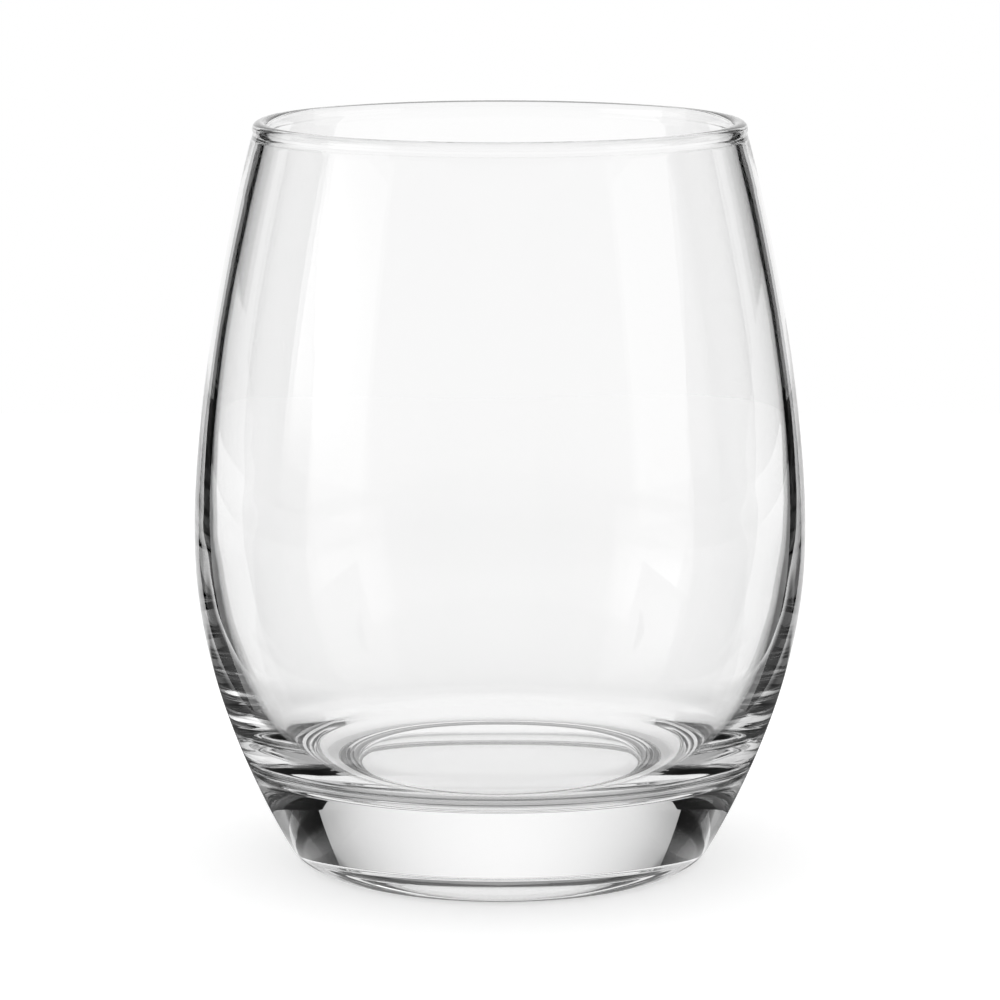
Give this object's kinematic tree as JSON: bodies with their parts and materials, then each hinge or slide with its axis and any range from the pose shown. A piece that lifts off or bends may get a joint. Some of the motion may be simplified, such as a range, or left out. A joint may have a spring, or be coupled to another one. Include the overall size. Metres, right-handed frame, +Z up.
{
  "type": "stemless drinking glass",
  "caption": "Clear stemless drinking glass: a barrel-shaped bowl drawn in to a fine beaded rim, on a thick solid base with a rounded heel and a flat ring to stand on.",
  "frame": {"origin": "centre of the standing ring, on the table", "axes": "+Z up along the axis of the glass; it is round, so +X and +Y have no feature of their own"},
  "size_m": [0.084, 0.084, 0.1023],
  "materials": {
    "clear_glass": "clear, colourless, fire-polished"
  },
  "bodies": {
    "root": {"tumbler": "clear_glass"}
  },
  "joints": []
}
